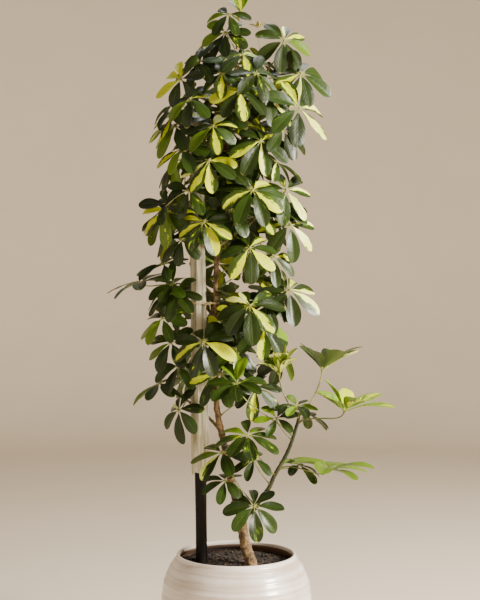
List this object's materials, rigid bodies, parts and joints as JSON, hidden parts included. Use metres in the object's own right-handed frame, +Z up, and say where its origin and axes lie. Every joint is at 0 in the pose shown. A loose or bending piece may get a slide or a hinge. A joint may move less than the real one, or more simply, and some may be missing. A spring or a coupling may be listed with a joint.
{
  "type": "potted umbrella plant",
  "caption": "Tall variegated umbrella plant in a round glazed pot, tied with string to a slim post in a film sleeve, with a young side shoot low on the right.",
  "frame": {"origin": "centre of the pot's flat base, on the floor it stands on", "axes": "+Z up along the pot's axis, -Y towards the front where the viewer stood, +X to the right seen from there"},
  "size_m": [0.7546, 0.3997, 1.8207],
  "materials": {
    "glazed_pot": "satin",
    "potting_soil": "matte",
    "stake_post": "satin",
    "sleeve_film": "satin",
    "tie_string": "matte",
    "bark": "matte",
    "shoot_young": "satin",
    "leaf_young": "satin",
    "leaf_green": "satin",
    "leaf_mixed": "satin",
    "leaf_gold": "satin",
    "leaf_cream": "satin"
  },
  "bodies": {
    "root": {"pot": "glazed_pot", "potting_soil": "potting_soil", "stake_post": "stake_post", "stake_sleeve": "sleeve_film", "tie_lower": "tie_string", "tie_upper": "tie_string", "trunk": "bark", "young_shoot": "shoot_young", "twig_top_right": "leaf_mixed", "twig_top_left": "leaf_mixed", "twig_mid_left": "leaf_mixed", "twig_right": "leaf_cream", "twig_left": "leaf_green", "twig_low_right": "leaf_cream", "twig_low_left": "leaf_green", "leaf_01": "leaf_young", "leaf_02": "leaf_green", "leaf_03": "leaf_green", "leaf_04": "leaf_mixed", "leaf_05": "leaf_green", "leaf_06": "leaf_green", "leaf_07": "leaf_mixed", "leaf_08": "leaf_gold", "leaf_09": "leaf_mixed", "leaf_10": "leaf_green", "leaf_11": "leaf_gold", "leaf_12": "leaf_green", "leaf_13": "leaf_mixed", "leaf_14": "leaf_green", "leaf_15": "leaf_gold", "leaf_16": "leaf_mixed", "leaf_17": "leaf_cream", "leaf_18": "leaf_gold", "leaf_19": "leaf_green", "leaf_20": "leaf_green", "leaf_21": "leaf_green", "leaf_22": "leaf_mixed", "leaf_23": "leaf_green", "leaf_24": "leaf_mixed", "leaf_25": "leaf_green", "leaf_26": "leaf_mixed", "leaf_27": "leaf_green", "leaf_28": "leaf_green", "leaf_29": "leaf_mixed", "leaf_30": "leaf_green", "leaf_31": "leaf_mixed", "leaf_32": "leaf_mixed", "leaf_33": "leaf_green", "leaf_34": "leaf_green", "leaf_35": "leaf_green", "leaf_36": "leaf_green"}
  },
  "joints": []
}
